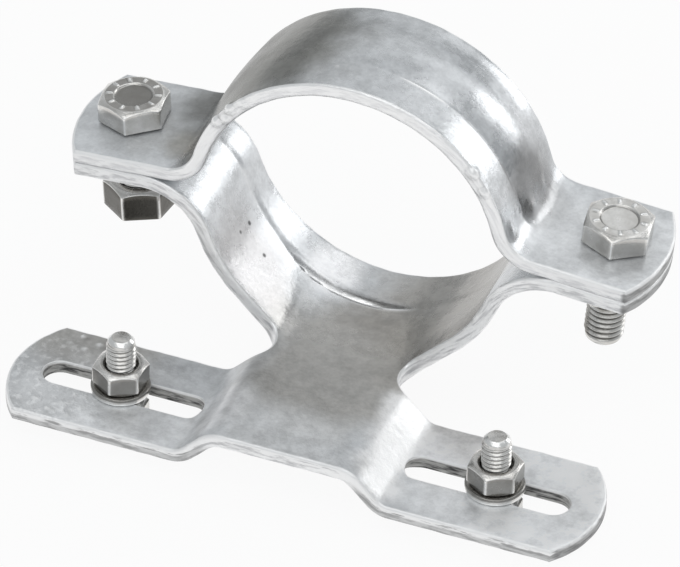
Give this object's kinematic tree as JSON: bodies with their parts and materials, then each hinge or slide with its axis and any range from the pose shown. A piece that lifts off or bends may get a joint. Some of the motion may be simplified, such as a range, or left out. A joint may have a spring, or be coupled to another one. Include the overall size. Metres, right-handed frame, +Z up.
{
  "type": "tube post clamp bracket",
  "caption": "Galvanised two-part clamp for a round post, with a stepped and slotted cross bar that carries a sign or panel on sliding bolts.",
  "frame": {"origin": "on the post's axis, at the middle of the clamp strap's width", "axes": "+X from the left ear to the right ear, +Y along the post away from the cross bar, +Z up from the base half to the cap, square to the wings"},
  "size_m": [0.124, 0.0625, 0.0789],
  "materials": {
    "galvanised_sheet": "hot-dip galvanised, mottled satin",
    "plated_fastener": "bright plated steel"
  },
  "bodies": {
    "bracket": {"clamp_cap": "galvanised_sheet", "base_bracket": "galvanised_sheet", "clamp_bolt_left": "plated_fastener", "clamp_bolt_right": "plated_fastener", "clamp_nut_left": "plated_fastener", "clamp_nut_right": "plated_fastener"},
    "left_sign_bolt": {"sign_bolt_left": "plated_fastener", "sign_washer_left": "plated_fastener", "sign_nut_left": "plated_fastener"},
    "right_sign_bolt": {"sign_bolt_right": "plated_fastener", "sign_washer_right": "plated_fastener", "sign_nut_right": "plated_fastener"}
  },
  "joints": [
    {"name": "left_slot_slide", "type": "slide", "parent": "bracket", "child": "left_sign_bolt", "axis": [1, 0, 0], "range_m": [-0.0125, 0.0105]},
    {"name": "right_slot_slide", "type": "slide", "parent": "bracket", "child": "right_sign_bolt", "axis": [1, 0, 0], "range_m": [-0.0115, 0.0115]}
  ]
}
